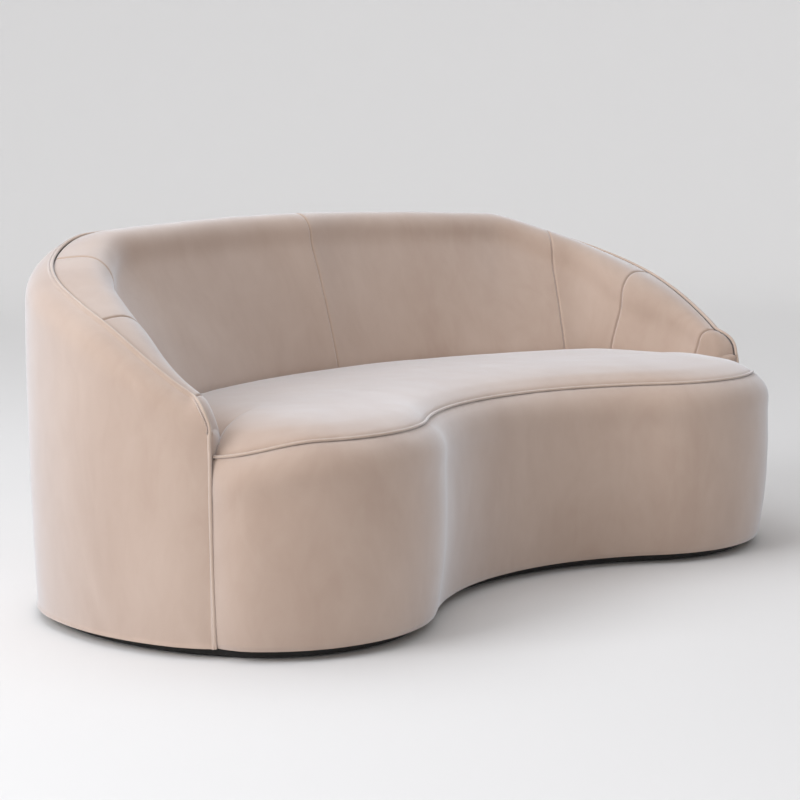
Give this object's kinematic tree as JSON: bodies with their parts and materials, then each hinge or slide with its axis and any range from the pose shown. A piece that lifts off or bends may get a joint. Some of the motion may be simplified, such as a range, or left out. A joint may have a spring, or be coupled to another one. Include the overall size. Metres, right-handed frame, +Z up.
{
  "type": "curved sofa",
  "caption": "Curved upholstered sofa with a kidney-shaped seat, a wrap-around back that slopes down into the arms, corded welts and a dark recessed plinth.",
  "frame": {"origin": "on the floor, under the middle of the bounding box", "axes": "+X along the sofa's length, towards the right as seen by someone facing its front; -Y is the front; +Z is up"},
  "size_m": [1.8314, 0.9725, 0.777],
  "materials": {
    "velvet": "short-pile velvet, pinkish taupe, soft sheen",
    "piping": "velvet-covered cord",
    "foam": "cut polyurethane foam",
    "fibre": "white polyester fibre sheet",
    "felt": "grey needled felt",
    "webbing": "woven elastic webbing",
    "dust_cloth": "thin black non-woven cloth",
    "bent_board": "bent hardboard, unfinished",
    "plywood": "birch plywood, sawn edges",
    "softwood": "planed pine, unfinished",
    "plinth": "black stained, matt",
    "glide": "moulded black plastic"
  },
  "bodies": {
    "root": {"arm_cover_left": "velvet", "arm_cover_right": "velvet", "arm_foam_left": "foam", "arm_foam_right": "foam", "arm_front_cover_left": "velvet", "arm_front_cover_right": "velvet", "arm_front_rib_left": "plywood", "arm_front_rib_right": "plywood", "arm_rib_left": "plywood", "arm_rib_right": "plywood", "back_cover_left": "velvet", "back_cover_right": "velvet", "back_foam": "foam", "back_rib_left": "plywood", "back_rib_right": "plywood", "base_ring_left": "plywood", "base_ring_right": "plywood", "base_splice_back": "plywood", "base_splice_front": "plywood", "body_welt": "piping", "corner_rib_left": "plywood", "corner_rib_right": "plywood", "cross_rail_centre": "softwood", "cross_rail_left": "softwood", "cross_rail_right": "softwood", "dust_cover": "dust_cloth", "front_cover": "velvet", "front_padding": "fibre", "front_skin_left": "bent_board", "front_skin_right": "bent_board", "front_studs": "softwood", "glides_left": "glide", "glides_right": "glide", "inner_skin": "bent_board", "outer_cover": "velvet", "outer_padding": "fibre", "outer_skin": "bent_board", "plinth_left": "plinth", "plinth_right": "plinth", "rear_rib_left": "plywood", "rear_rib_right": "plywood", "rear_studs": "softwood", "seat_cover": "velvet", "seat_felt": "felt", "seat_foam": "foam", "seat_ring_left": "plywood", "seat_ring_right": "plywood", "seat_splice_back": "plywood", "seat_splice_front": "plywood", "seat_welt": "piping", "seat_wrap": "fibre", "side_back_cover_left": "velvet", "side_back_cover_right": "velvet", "top_rail_left": "plywood", "top_rail_right": "plywood", "webbing_crossways": "webbing", "webbing_lengthways": "webbing"}
  },
  "joints": []
}
